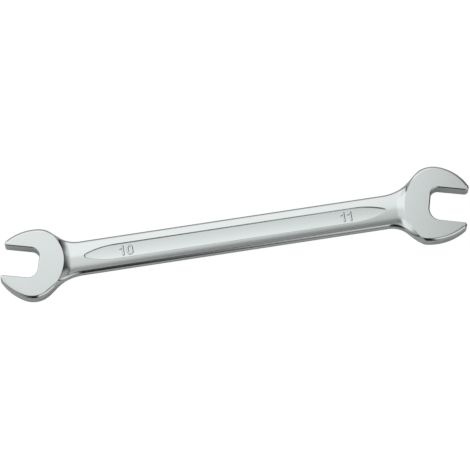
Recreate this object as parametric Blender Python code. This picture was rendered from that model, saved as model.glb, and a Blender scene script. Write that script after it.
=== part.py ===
"""Double open end wrench for 10 mm and 11 mm nuts, lying flat on its two head faces.

Units are metres and +Z is up. The shank runs along X, with the 11 mm jaw at +X. The origin is on the surface
that the wrench lies on, half way between its ends and on the shank's centre line.

A wrench like this is one steel forging, so it is one object here. Its plan outline is a closed chain of
round bends joined by straight tangents. Its upper and lower skins are each a height over that plan: a crowned
shank, a concave rise at each neck, the flat ground face of each head, a rounded rim, and a sunk panel.
"""

import math
from dataclasses import dataclass, replace
from functools import lru_cache

import bmesh
import bpy
from mathutils import Vector
from mathutils.geometry import delaunay_2d_cdt

# Whole wrench
OVERALL_LENGTH = 0.155
HEAD_THICKNESS = 0.005
JAW_ANGLE = math.radians(15.0)
JAW_CLEARANCE = 0.0001

# Shank, with its thickness along the centre line and at its two long edges. Past those edges the crown's fall
# eases off from this share of the half width on
SHANK_WIDTH = 0.0115
SHANK_THICKNESS = 0.0042
SHANK_EDGE_THICKNESS = 0.00265
CROWN_EASE_SHARE = 1.03
NECK_RISE_RUN = 0.0027

# Rounding of the rim between the side wall and the upper or lower skin. It grows round each jaw tip
HEAD_RIM = 0.001
SHANK_RIM = 0.001
TIP_RIM = 0.0006
JAW_RIM = 0.00035
TIP_RADIUS = 0.0014

# Sunk panel on each side of the shank, with the places of its two ends along the shank
PANEL_RIGHT = 0.0494
PANEL_LEFT = -0.0498
PANEL_WIDTH = 0.0053
PANEL_DEPTH = 0.00028
PANEL_WALL_RUN = 0.00045
PANEL_TAPER_RADIUS = 0.027
PANEL_NOSE_RADIUS = 0.0009

# Fineness of the faceted skin
OUTLINE_SAGITTA = 0.000012
RIM_STEPS = 4
SHANK_GRID = 0.0018
NECK_GRID = 0.00045
NECK_GRID_ACROSS = 0.0012
FILL_GAP = 0.0003
MERGE_DISTANCE = 0.00000005
SHORTEST_SIDE = 0.00002

STEEL_COLOUR = (0.78, 0.80, 0.80, 1.0)
STEEL_ROUGHNESS = 0.3
SMOOTH_ANGLE = math.radians(30.0)


@dataclass(frozen=True)
class Arm:
    """Sizes of one arm of a jaw, from the throat round its tip and shoulder to the neck. half_width is the
    distance from the jaw's centre line to the widest place of the shoulder."""

    half_width: float
    tip_reach: float
    tip_width: float
    tip_inner_radius: float
    throat_radius: float
    shoulder_radius: float
    shoulder_setback: float
    flank_radius: float
    neck_radius: float
    neck_straight: float


@dataclass(frozen=True)
class Head:
    """Sizes of one jaw head. In its own frame the mouth opens along +X, and the origin is where the centre
    lines of the jaw and the shank cross. The face ends towards the shank in an arc, whose apex lies face_reach
    behind the origin and face_shift off the shank's centre line."""

    nut_size: float
    throat_reach: float
    face_reach: float
    face_shift: float
    face_radius: float
    upper: Arm
    lower: Arm

    @property
    def half_mouth(self):
        return (self.nut_size + JAW_CLEARANCE) / 2


SMALL_HEAD = Head(
    nut_size=0.010,
    throat_reach=0.0011,
    face_reach=0.00945,
    face_shift=-0.00115,
    face_radius=0.0111,
    upper=Arm(
        half_width=0.0122,
        tip_reach=0.0105,
        tip_width=0.00235,
        tip_inner_radius=0.0007,
        throat_radius=0.0032,
        shoulder_radius=0.0076,
        shoulder_setback=0.0,
        flank_radius=0.0171,
        neck_radius=0.015,
        neck_straight=0.0031,
    ),
    lower=Arm(
        half_width=0.0121,
        tip_reach=0.0107,
        tip_width=0.0024,
        tip_inner_radius=0.0007,
        throat_radius=0.0029,
        shoulder_radius=0.0077,
        shoulder_setback=0.0005,
        flank_radius=0.0165,
        neck_radius=0.009,
        neck_straight=0.0036,
    ),
)
LARGE_HEAD = Head(
    nut_size=0.011,
    throat_reach=0.0008,
    face_reach=0.0093,
    face_shift=-0.0014,
    face_radius=0.013,
    upper=Arm(
        half_width=0.0131,
        tip_reach=0.0114,
        tip_width=0.0027,
        tip_inner_radius=0.0012,
        throat_radius=0.0025,
        shoulder_radius=0.0084,
        shoulder_setback=0.0,
        flank_radius=0.0149,
        neck_radius=0.0145,
        neck_straight=0.0022,
    ),
    lower=Arm(
        half_width=0.0134,
        tip_reach=0.0118,
        tip_width=0.00255,
        tip_inner_radius=0.0009,
        throat_radius=0.0038,
        shoulder_radius=0.0072,
        shoulder_setback=0.00085,
        flank_radius=0.0179,
        neck_radius=0.0075,
        neck_straight=0.0031,
    ),
)


@dataclass(frozen=True)
class Bend:
    """A round stretch of an outline that is followed anticlockwise. turn is 1 where the outline turns left
    round the centre, and -1 where it turns right round it. The edge's rounding goes from rim_start to rim_end
    along it."""

    centre: Vector
    radius: float
    turn: int
    rim_start: float = 0.0
    rim_end: float = 0.0

    def moved(self, centre):
        return replace(self, centre=centre)

    def mirrored(self):
        """The same bend on the other side of the X axis, where it is followed from its other end."""
        centre = Vector((self.centre.x, -self.centre.y))
        return Bend(centre, self.radius, self.turn, self.rim_end, self.rim_start)


@dataclass(frozen=True)
class OutlinePoint:
    place: Vector
    normal: Vector
    rim: float

    def inset(self, distance):
        return self.place - self.normal * distance


def direction(angle):
    return Vector((math.cos(angle), math.sin(angle)))


def turned(point, angle):
    along, across = direction(angle), direction(angle + math.pi / 2)
    return along * point.x + across * point.y


def tangent_normal(first, second):
    """Angle of the outward normal on the straight line that leaves one bend and meets the next."""
    span = second.centre - first.centre
    share = (first.turn * first.radius - second.turn * second.radius) / span.length
    return math.atan2(span.y, span.x) - math.acos(max(-1.0, min(1.0, share)))


def sweep_between(start, end, turn):
    """Angle turned from one normal to the next, with the sign of the bend's turn."""
    full = 2 * math.pi
    swept = (turn * (end - start)) % full
    whole_turn_slack = 1e-6
    return 0.0 if swept > full - whole_turn_slack else turn * swept


def bend_points(bend, start, sweep, sagitta):
    """Points round one bend, no further than sagitta inside its arc."""
    step = 2 * math.acos(1 - min(sagitta / bend.radius, 1.0))
    count = max(1, math.ceil(abs(sweep) / step))
    points = []
    for k in range(count + 1):
        normal = direction(start + sweep * k / count)
        rim = bend.rim_start + (bend.rim_end - bend.rim_start) * k / count
        points.append(OutlinePoint(bend.centre + normal * (bend.turn * bend.radius), normal, rim))
    return points


def outline(bends, sagitta):
    """Points along the closed outline that runs round the bends, without any side too short to matter."""
    points = []
    for index, bend in enumerate(bends):
        before, after = bends[index - 1], bends[(index + 1) % len(bends)]
        start = tangent_normal(before, bend)
        sweep = sweep_between(start, tangent_normal(bend, after), bend.turn)
        points += bend_points(bend, start, sweep, sagitta)
    return [
        point for k, point in enumerate(points) if (point.place - points[k - 1].place).length > SHORTEST_SIDE
    ]


def bend_round(first, second, radius):
    """A left bend of this larger radius that runs smoothly from one left bend into the next."""
    span = second.centre - first.centre
    near, far = radius - first.radius, radius - second.radius
    along = (near**2 - far**2 + span.length_squared) / (2 * span.length)
    across = math.sqrt(max(near**2 - along**2, 0.0))
    ahead = span.normalized()
    centre = first.centre + ahead * along + Vector((-ahead.y, ahead.x)) * across
    return Bend(centre, radius, 1, first.rim_end, second.rim_start)


def arm_bends(arm, half_mouth, throat_reach):
    """Bends of an arm above the jaw's centre line, from the throat round the tip to the shoulder."""
    throat = Vector((arm.throat_radius - throat_reach, half_mouth - arm.throat_radius))
    corner = Vector((arm.tip_reach - arm.tip_inner_radius, half_mouth + arm.tip_inner_radius))
    tip = Vector((arm.tip_reach - TIP_RADIUS, half_mouth + arm.tip_width - TIP_RADIUS))
    shoulder = Vector((-arm.shoulder_setback, arm.half_width - arm.shoulder_radius))
    tip_bend = Bend(tip, TIP_RADIUS, 1, TIP_RIM, HEAD_RIM)
    shoulder_bend = Bend(shoulder, arm.shoulder_radius, 1, HEAD_RIM, HEAD_RIM)
    return [
        Bend(throat, arm.throat_radius, -1, JAW_RIM, JAW_RIM),
        Bend(corner, arm.tip_inner_radius, 1, JAW_RIM, TIP_RIM),
        tip_bend,
        bend_round(tip_bend, shoulder_bend, arm.flank_radius),
        shoulder_bend,
    ]


def neck_bend(arm, shoulder, side):
    """Concave bend between a long edge of the shank and a shoulder. side is 1 for the upper edge."""
    height = side * (SHANK_WIDTH / 2 + arm.neck_radius)
    reach = math.hypot(arm.neck_radius + shoulder.radius, arm.neck_straight)
    along = math.sqrt(max(reach**2 - (height - shoulder.centre.y) ** 2, 0.0))
    return Bend(Vector((shoulder.centre.x - along, height)), arm.neck_radius, -1, SHANK_RIM, SHANK_RIM)


def head_bends(head):
    """Bends of one head with its shank along -X, from the lower neck to the upper neck."""
    upper = arm_bends(head.upper, head.half_mouth, head.throat_reach)
    lower = arm_bends(head.lower, head.half_mouth, head.throat_reach)
    jaw = [bend.mirrored() for bend in reversed(lower)] + upper
    jaw = [bend.moved(turned(bend.centre, -JAW_ANGLE)) for bend in jaw]
    return [neck_bend(head.lower, jaw[0], -1), *jaw, neck_bend(head.upper, jaw[-1], 1)]


@lru_cache
def head_centre(head):
    """Distance from the wrench's middle to the head's own origin."""
    reach = max(point.place.x for point in outline(head_bends(head), OUTLINE_SAGITTA))
    return OVERALL_LENGTH / 2 - reach


def face_apex(head):
    """Apex of the arc that ends a head's face, from the wrench's middle with the head at +X."""
    return Vector((head_centre(head) - head.face_reach, head.face_shift))


def wrench_bends():
    """The whole outline: the large head at +X, then the small head turned half round to -X."""
    large_centre, small_centre = (Vector((head_centre(head), 0)) for head in (LARGE_HEAD, SMALL_HEAD))
    large = [bend.moved(large_centre + bend.centre) for bend in head_bends(LARGE_HEAD)]
    small = [bend.moved(-small_centre - bend.centre) for bend in head_bends(SMALL_HEAD)]
    return large + small


def crown_fall(share):
    """Fall of the crown at this share of the shank's half width, before it is scaled to the edge's thickness."""
    return share**2 / (1 + (share / CROWN_EASE_SHARE) ** 6) ** (1 / 3)


def crown_height(across):
    """Half thickness of the crowned skin at this distance from its centre line."""
    edge_fall = (SHANK_THICKNESS - SHANK_EDGE_THICKNESS) / 2
    return SHANK_THICKNESS / 2 - edge_fall * crown_fall(2 * across / SHANK_WIDTH) / crown_fall(1)


def rise_share(point, head, end):
    """How far through a neck the point lies, from 0 at its foot to 1 at the head's face. end is 1 at +X."""
    away = end * point - face_apex(head)
    past = away.x - away.y**2 / (2 * head.face_radius)
    return max(0.0, min(1.0, 1 + past / NECK_RISE_RUN))


def nearer_share(point):
    """How far through the nearer neck the point lies."""
    return max(rise_share(point, LARGE_HEAD, 1), rise_share(point, SMALL_HEAD, -1))


def skin_height(point):
    """Half thickness of the wrench over this point of its plan, before the rim and the panel."""
    crown = crown_height(point.y)
    return crown + (HEAD_THICKNESS / 2 - crown) * nearer_share(point) ** 2


def panel_floor():
    return crown_height(PANEL_WIDTH / 2) - PANEL_DEPTH


def panel_bends():
    """Bends of the panel: straight sides that taper in long arcs to a small round nose at each end."""
    nose_reach = math.sqrt(
        (PANEL_TAPER_RADIUS - PANEL_NOSE_RADIUS) ** 2 - (PANEL_TAPER_RADIUS - PANEL_WIDTH / 2) ** 2
    )
    drop = PANEL_WIDTH / 2 - PANEL_TAPER_RADIUS
    right = PANEL_RIGHT - PANEL_NOSE_RADIUS
    left = PANEL_LEFT + PANEL_NOSE_RADIUS
    return [
        Bend(Vector((right, 0)), PANEL_NOSE_RADIUS, 1),
        Bend(Vector((right - nose_reach, drop)), PANEL_TAPER_RADIUS, 1),
        Bend(Vector((left + nose_reach, drop)), PANEL_TAPER_RADIUS, 1),
        Bend(Vector((left, 0)), PANEL_NOSE_RADIUS, 1),
        Bend(Vector((left + nose_reach, -drop)), PANEL_TAPER_RADIUS, 1),
        Bend(Vector((right - nose_reach, -drop)), PANEL_TAPER_RADIUS, 1),
    ]


def inside(point, loop):
    """True if the point lies inside the closed loop."""
    crossings = 0
    for index, end in enumerate(loop):
        start = loop[index - 1]
        if (start.y > point.y) != (end.y > point.y):
            share = (point.y - start.y) / (end.y - start.y)
            crossings += point.x < start.x + share * (end.x - start.x)
    return crossings % 2 == 1


def gap_to(point, loop):
    """Distance from the point to the closed loop."""
    nearest = []
    for index, end in enumerate(loop):
        start = loop[index - 1]
        side = end - start
        share = max(0.0, min(1.0, (point - start).dot(side) / side.length_squared))
        nearest.append((point - start - side * share).length)
    return min(nearest)


def spread(start, end, spacing):
    """Evenly spread values from start to end, about spacing apart."""
    count = max(1, round((end - start) / spacing))
    return [start + (end - start) * k / count for k in range(count + 1)]


class Skin:
    """The upper skin over the plan, as points with heights and the edges that its triangles keep to."""

    def __init__(self):
        self.points = []
        self.heights = []
        self.edges = []

    def add(self, point, height):
        self.points.append(point)
        self.heights.append(height)
        return len(self.points) - 1

    def add_line(self, points, heights, closed):
        first = len(self.points)
        for point, height in zip(points, heights):
            self.add(point, height)
        last = len(self.points) - 1
        self.edges += [(k, k + 1) for k in range(first, last)]
        if closed:
            self.edges.append((last, first))


def add_rim(skin, edge):
    """Rings of the rounded rim, from the side wall in to where the skin starts. Returns the innermost one."""
    ring = []
    for step in range(RIM_STEPS + 1):
        angle = math.pi / 2 * step / RIM_STEPS
        inset_share, drop_share = 1 - math.cos(angle), 1 - math.sin(angle)
        ring = [point.inset(point.rim * inset_share) for point in edge]
        heights = [skin_height(place) - point.rim * drop_share for place, point in zip(ring, edge)]
        skin.add_line(ring, heights, closed=True)
    return ring


def neck_place(head, end, share, across):
    """Point of the plan this far through a neck, at this distance off the shank's centre line."""
    apex = face_apex(head)
    sag = (end * across - apex.y) ** 2 / (2 * head.face_radius)
    return Vector((end * (apex.x - NECK_RISE_RUN * (1 - share) + sag), across))


def across_values(head):
    """Distances off the shank's centre line at which a neck's points lie."""
    half_width = max(head.lower.half_width, head.upper.half_width)
    return spread(-half_width, half_width, NECK_GRID_ACROSS)


def clear_of(place, loop):
    return inside(place, loop) and gap_to(place, loop) > FILL_GAP


def add_face_edge(skin, head, end, limit):
    """The crisp curved edge where a head's ground face meets the neck, as far as it stays clear of the rim."""
    places = [neck_place(head, end, 1.0, across) for across in across_values(head)]
    first = last = min(range(len(places)), key=lambda k: abs(places[k].y))
    while clear_of(places[first - 1], limit):
        first -= 1
    while clear_of(places[last + 1], limit):
        last += 1
    kept = places[first : last + 1]
    skin.add_line(kept, [HEAD_THICKNESS / 2] * len(kept), closed=False)


def add_panel(skin):
    """The panel's edge on the crown and the edge of its floor. Returns the outer one."""
    edge = outline(panel_bends(), OUTLINE_SAGITTA)
    floor = [point.inset(PANEL_WALL_RUN) for point in edge]
    rim = [point.place for point in edge]
    skin.add_line(rim, [skin_height(place) for place in rim], closed=True)
    skin.add_line(floor, [panel_floor()] * len(floor), closed=True)
    return rim


def neck_places(head, end):
    """Rows of points that follow the neck's rise, short of the edge of the head's face."""
    shares = spread(0.0, 1 - NECK_GRID / NECK_RISE_RUN, NECK_GRID / NECK_RISE_RUN)
    return [neck_place(head, end, share, across) for share in shares for across in across_values(head)]


def shank_places():
    """Points spread over the shank, short of the feet of the two necks."""
    along = spread(-head_centre(SMALL_HEAD), head_centre(LARGE_HEAD), SHANK_GRID)
    across = spread(-SHANK_WIDTH / 2, SHANK_WIDTH / 2, SHANK_GRID)
    places = [Vector((x, y)) for x in along for y in across]
    outward = [place + Vector((math.copysign(NECK_GRID, place.x), 0)) for place in places]
    return [place for place, beyond in zip(places, outward) if nearer_share(beyond) == 0]


def add_crown(skin, limit, panel):
    """Points spread over the crowned shank and the two necks, clear of the rim and the panel."""
    places = shank_places() + neck_places(LARGE_HEAD, 1) + neck_places(SMALL_HEAD, -1)
    for place in places:
        if clear_of(place, limit) and not inside(place, panel) and gap_to(place, panel) > FILL_GAP:
            skin.add(place, skin_height(place))


def build_skin():
    """The upper skin, and the outline of the wrench that its first points follow."""
    skin = Skin()
    edge = outline(wrench_bends(), OUTLINE_SAGITTA)
    limit = add_rim(skin, edge)
    add_face_edge(skin, LARGE_HEAD, 1, limit)
    add_face_edge(skin, SMALL_HEAD, -1, limit)
    panel = add_panel(skin)
    add_crown(skin, limit, panel)
    return skin, [point.place for point in edge]


def triangles_over(skin, edge):
    """Corners and faces of the skin's triangulation inside the outline, with each corner's index into the
    skin's own points."""
    whole_hull = 0
    found = delaunay_2d_cdt(skin.points, skin.edges, [], whole_hull, MERGE_DISTANCE, True)
    places, faces, sources = found[0], found[2], found[3]
    kept = [face for face in faces if inside(sum((places[k] for k in face), Vector((0, 0))) / len(face), edge)]
    return places, kept, [source[0] if source else None for source in sources]


def wrench_mesh():
    """The closed body: the upper skin, its mirror image below, and the side wall between their edges."""
    skin, edge = build_skin()
    places, faces, sources = triangles_over(skin, edge)
    body = bmesh.new()
    upper, lower = [], []
    middle = HEAD_THICKNESS / 2
    for place, source in zip(places, sources):
        height = skin_height(place) if source is None else skin.heights[source]
        upper.append(body.verts.new((place.x, place.y, middle + height)))
        lower.append(body.verts.new((place.x, place.y, middle - height)))
    for face in faces:
        body.faces.new([upper[k] for k in face])
        body.faces.new([lower[k] for k in reversed(face)])
    wall = [k for k, source in enumerate(sources) if source is not None and source < len(edge)]
    wall.sort(key=lambda k: sources[k])
    for here, there in zip(wall, wall[1:] + wall[:1]):
        body.faces.new((upper[here], lower[here], lower[there], upper[there]))
    bmesh.ops.recalc_face_normals(body, faces=body.faces)
    mesh = bpy.data.meshes.new("wrench_forging")
    body.to_mesh(mesh)
    body.free()
    return mesh


def steel_material():
    material = bpy.data.materials.new("satin_chrome_steel")
    material.use_nodes = True
    shader = material.node_tree.nodes["Principled BSDF"]
    shader.inputs["Base Color"].default_value = STEEL_COLOUR
    shader.inputs["Roughness"].default_value = STEEL_ROUGHNESS
    shader.inputs["Metallic"].default_value = 1.0
    return material


def clear_scene():
    for item in list(bpy.data.objects):
        bpy.data.objects.remove(item, do_unlink=True)


def main():
    clear_scene()
    mesh = wrench_mesh()
    mesh.materials.append(steel_material())
    mesh.shade_smooth()
    mesh.set_sharp_from_angle(angle=SMOOTH_ANGLE)
    wrench = bpy.data.objects.new("wrench_forging", mesh)
    bpy.context.scene.collection.objects.link(wrench)


main()
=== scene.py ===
"""Scene of a double open end wrench for 10 mm and 11 mm nuts, in satin chrome, on a white table.

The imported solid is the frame. A finer surface of the same forging stands for it here, with rounded rims, a
sunk panel with soft walls, raised size numbers and the finish of each region. Lengths are in metres, and a
place on the wrench's plan is a complex number, x + y i.
"""

import cmath
import logging
import math
from dataclasses import dataclass, field, replace
from enum import Enum

import bpy
import numpy as np
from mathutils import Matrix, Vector
from mathutils.geometry import delaunay_2d_cdt


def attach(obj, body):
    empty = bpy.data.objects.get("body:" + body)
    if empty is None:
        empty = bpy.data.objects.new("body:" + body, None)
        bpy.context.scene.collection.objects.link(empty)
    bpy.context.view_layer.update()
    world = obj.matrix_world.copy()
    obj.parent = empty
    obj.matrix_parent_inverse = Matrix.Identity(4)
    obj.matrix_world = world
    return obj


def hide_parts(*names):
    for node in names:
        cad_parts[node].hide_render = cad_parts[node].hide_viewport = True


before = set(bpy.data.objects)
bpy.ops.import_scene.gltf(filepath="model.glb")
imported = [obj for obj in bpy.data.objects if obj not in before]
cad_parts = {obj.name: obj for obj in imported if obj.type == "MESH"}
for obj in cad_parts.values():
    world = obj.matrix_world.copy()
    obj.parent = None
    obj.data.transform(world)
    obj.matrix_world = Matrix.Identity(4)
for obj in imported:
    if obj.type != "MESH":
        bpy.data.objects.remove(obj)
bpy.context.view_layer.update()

MM = 0.001
SHORTEST_SIDE = 0.00002
MEASURING_SAGITTA = 2e-6
SLOPE_STEP = 2e-6
WHOLE_TURN_SLACK = 1e-6
log = logging.getLogger("wrench")


class Side(Enum):
    """The two broad sides of the wrench."""

    UPPER = 1
    LOWER = -1


class Region(Enum):
    """Regions of the surface that differ in finish. The value is the material's place on the mesh."""

    FORGED = 0
    GROUND = 1
    BROACHED = 2


# Plan geometry


@dataclass(frozen=True)
class Bend:
    """A round stretch of an outline that is followed anticlockwise.

    turn is 1 where the outline turns left round the centre, and -1 where it turns right round it. rims are
    the rounding of the edge at its start and at its end, draft is how far the wall falls back there, and
    broached marks a jaw wall.
    """

    centre: complex
    radius: float
    turn: int
    rims: tuple[float, float] = (0.0, 0.0)
    draft: float = 0.0
    broached: bool = False

    def placed(self, factor: complex, offset: complex) -> "Bend":
        """The same bend turned by a unit factor and then moved."""
        return replace(self, centre=self.centre * factor + offset)

    def mirrored(self) -> "Bend":
        """The same bend on the other side of the X axis, where it is followed from its other end."""
        return replace(self, centre=self.centre.conjugate(), rims=self.rims[::-1])


@dataclass(frozen=True)
class Outline:
    """Points along a closed outline, with their outward normals and the make of the edge at each."""

    places: np.ndarray
    normals: np.ndarray
    rims: np.ndarray
    drafts: np.ndarray
    broached: np.ndarray

    def inset(self, distance: float) -> np.ndarray:
        """The outline moved inwards.

        Args:
            distance: how far in, as one length or as one length for each point.

        Returns:
            The moved places.
        """
        return self.places - self.normals * distance


def tangent_angle(first: Bend, second: Bend) -> float:
    """Angle of the outward normal on the straight that leaves one bend and meets the next.

    Args:
        first: the bend that the outline leaves.
        second: the bend that it meets next.

    Returns:
        The angle in radians.
    """
    span = second.centre - first.centre
    share = (first.turn * first.radius - second.turn * second.radius) / abs(span)
    return cmath.phase(span) - math.acos(max(-1.0, min(1.0, share)))


def bend_angles(bend: Bend, start: float, end: float, sagitta: float, longest: float) -> np.ndarray:
    """Angles of the outward normals at points round one bend.

    Args:
        bend: the bend.
        start: the normal's angle where the outline reaches it.
        end: the normal's angle where the outline leaves it.
        sagitta: how far a side may cut inside the arc.
        longest: the longest side.

    Returns:
        The angles in radians, in the order of the outline.
    """
    swept = (bend.turn * (end - start)) % (2 * math.pi)
    if swept > 2 * math.pi - WHOLE_TURN_SLACK:
        swept = 0.0
    step = min(2 * math.acos(1 - min(sagitta / bend.radius, 1.0)), longest / bend.radius)
    count = max(1, math.ceil(swept / step))
    return start + bend.turn * swept * np.arange(count + 1) / count


def outline_of(bends: list[Bend], sagitta: float, longest: float) -> Outline:
    """Points along the closed outline that runs round the bends and along the straights between them.

    Args:
        bends: the bends in anticlockwise order.
        sagitta: how far a side may cut inside an arc.
        longest: the longest side.

    Returns:
        The outline.
    """
    rows: list[tuple[complex, complex, float, float, bool]] = []
    for index, bend in enumerate(bends):
        before = bends[index - 1]
        after = bends[(index + 1) % len(bends)]
        start = tangent_angle(before, bend)
        end = tangent_angle(bend, after)
        angles = bend_angles(bend, start, end, sagitta, longest)
        for angle, rim in zip(angles, np.linspace(*bend.rims, len(angles))):
            normal = cmath.exp(1j * angle)
            place = bend.centre + normal * bend.turn * bend.radius
            rows.append((place, normal, float(rim), bend.draft, bend.broached))
        leaving = rows[-1]
        meeting = after.centre + cmath.exp(1j * end) * after.turn * after.radius
        parts = math.ceil(abs(meeting - leaving[0]) / longest)
        for k in range(1, parts):
            share = k / parts
            place = leaving[0] + (meeting - leaving[0]) * share
            rim = bend.rims[1] + (after.rims[0] - bend.rims[1]) * share
            draft = bend.draft + (after.draft - bend.draft) * share
            rows.append((place, leaving[1], rim, draft, bend.broached and after.broached))
    rows = [row for k, row in enumerate(rows) if abs(row[0] - rows[k - 1][0]) > SHORTEST_SIDE]
    columns = list(zip(*rows))
    return Outline(*(np.array(column) for column in columns))


def inside(places: np.ndarray, loop: np.ndarray) -> np.ndarray:
    """Which places lie inside a closed loop.

    Args:
        places: the places to test.
        loop: the corners of the loop.

    Returns:
        A true or false value for each place.
    """
    odd = np.zeros(len(places), dtype=bool)
    for start, end in zip(np.roll(loop, 1), loop):
        if start.imag == end.imag:
            continue
        crosses = (start.imag > places.imag) != (end.imag > places.imag)
        share = (places.imag - start.imag) / (end.imag - start.imag)
        odd ^= crosses & (places.real < start.real + share * (end.real - start.real))
    return odd


def gap_to(places: np.ndarray, loop: np.ndarray) -> np.ndarray:
    """Distance from each place to a closed loop.

    Args:
        places: the places to measure from.
        loop: the corners of the loop.

    Returns:
        The distances.
    """
    nearest = np.full(len(places), np.inf)
    for start, end in zip(np.roll(loop, 1), loop):
        side = end - start
        from_start = places - start
        share = np.clip((from_start * side.conjugate()).real / abs(side) ** 2, 0.0, 1.0)
        nearest = np.minimum(nearest, np.abs(from_start - share * side))
    return nearest


def soft_step(share: np.ndarray) -> np.ndarray:
    """A smooth rise from 0 to 1 as the share goes from 0 to 1."""
    held = np.clip(share, 0.0, 1.0)
    return held**3 * (held * (6 * held - 15) + 10)


def spread(start: float, end: float, spacing: float) -> np.ndarray:
    """Evenly spread values from start to end.

    Args:
        start: the first value.
        end: the last value.
        spacing: about how far apart they lie.

    Returns:
        The values, with both ends.
    """
    count = max(1, round((end - start) / spacing))
    return start + (end - start) * np.arange(count + 1) / count


# The forging's form


@dataclass(frozen=True)
class Edge:
    """Roundings and draft of the forging's edges."""

    head_rim: float = 1.20 * MM
    shank_rim: float = 1.00 * MM
    tip_rim: float = 0.60 * MM
    jaw_rim: float = 0.45 * MM
    wall_draft: float = 0.07 * MM


@dataclass(frozen=True)
class Arm:
    """Sizes of one arm of a jaw, from the throat round its tip and shoulder to the neck.

    half_width is the distance from the jaw's centre line to the widest place of the shoulder.
    """

    tip_reach: float
    tip_width: float
    throat_radius: float
    half_width: float
    shoulder_radius: float
    shoulder_setback: float
    flank_radius: float
    neck_radius: float
    neck_straight: float
    tip_inner_radius: float
    tip_radius: float = 1.4 * MM

    def bends(self, half_mouth: float, throat_reach: float, edge: Edge) -> list[Bend]:
        """Bends of the arm where it lies above the jaw's centre line, from the throat to the shoulder.

        Args:
            half_mouth: half the distance between the jaw flats.
            throat_reach: how far the throat lies behind the head's origin.
            edge: the roundings and the draft.

        Returns:
            The bends in anticlockwise order.
        """
        throat = complex(self.throat_radius - throat_reach, half_mouth - self.throat_radius)
        corner = complex(self.tip_reach - self.tip_inner_radius, half_mouth + self.tip_inner_radius)
        tip = complex(self.tip_reach - self.tip_radius, half_mouth + self.tip_width - self.tip_radius)
        shoulder = complex(-self.shoulder_setback, self.half_width - self.shoulder_radius)
        span = shoulder - tip
        near = self.flank_radius - self.tip_radius
        far = self.flank_radius - self.shoulder_radius
        along = (near**2 - far**2 + abs(span) ** 2) / (2 * abs(span))
        across = math.sqrt(max(near**2 - along**2, 0.0))
        flank = tip + span / abs(span) * complex(along, across)
        full = (edge.head_rim, edge.head_rim)
        return [
            Bend(throat, self.throat_radius, -1, (edge.jaw_rim, edge.jaw_rim), 0.0, True),
            Bend(corner, self.tip_inner_radius, 1, (edge.jaw_rim, edge.tip_rim), 0.0, True),
            Bend(tip, self.tip_radius, 1, (edge.tip_rim, edge.head_rim), edge.wall_draft),
            Bend(flank, self.flank_radius, 1, full, edge.wall_draft),
            Bend(shoulder, self.shoulder_radius, 1, full, edge.wall_draft),
        ]

    def neck(self, shoulder: Bend, half_shank: float, edge: Edge) -> Bend:
        """The concave bend between a long edge of the shank and the shoulder.

        Args:
            shoulder: the shoulder's bend, with the head turned to its jaw angle.
            half_shank: half the shank's width, negative for its lower edge.
            edge: the roundings and the draft.

        Returns:
            The neck's bend.
        """
        height = half_shank + math.copysign(self.neck_radius, half_shank)
        reach = math.hypot(self.neck_radius + shoulder.radius, self.neck_straight)
        along = math.sqrt(max(reach**2 - (height - shoulder.centre.imag) ** 2, 0.0))
        centre = complex(shoulder.centre.real - along, height)
        return Bend(centre, self.neck_radius, -1, (edge.shank_rim,) * 2, edge.wall_draft)


@dataclass(frozen=True)
class Head:
    """Sizes of one jaw head, whose mouth opens along +X in its own frame.

    The origin of that frame is where the centre lines of the jaw and the shank cross. The face ends towards
    the shank in an arc: face_reach and face_shift place its apex behind that origin and off the shank's
    centre line.
    """

    nut_size: float
    throat_reach: float
    face_reach: float
    face_shift: float
    face_radius: float
    upper: Arm
    lower: Arm
    edge: Edge = field(default_factory=Edge)
    jaw_angle: float = math.radians(15.0)
    clearance: float = 0.1 * MM

    @property
    def half_mouth(self) -> float:
        """Half the distance between the jaw flats."""
        return (self.nut_size + self.clearance) / 2

    def jaw(self) -> list[Bend]:
        """Bends of the jaw in the head's own frame.

        Returns:
            The bends in anticlockwise order, from the lower shoulder to the upper one.
        """
        upper = self.upper.bends(self.half_mouth, self.throat_reach, self.edge)
        lower = self.lower.bends(self.half_mouth, self.throat_reach, self.edge)
        return [bend.mirrored() for bend in reversed(lower)] + upper

    def bends(self, shank_width: float) -> list[Bend]:
        """Bends of the head with its shank along -X, from the lower neck to the upper neck.

        Args:
            shank_width: the full width of the shank.

        Returns:
            The bends in anticlockwise order.
        """
        jaw = [bend.placed(cmath.exp(-1j * self.jaw_angle), 0j) for bend in self.jaw()]
        half = shank_width / 2
        lower = self.lower.neck(jaw[0], -half, self.edge)
        upper = self.upper.neck(jaw[-1], half, self.edge)
        return [lower, *jaw, upper]


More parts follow.
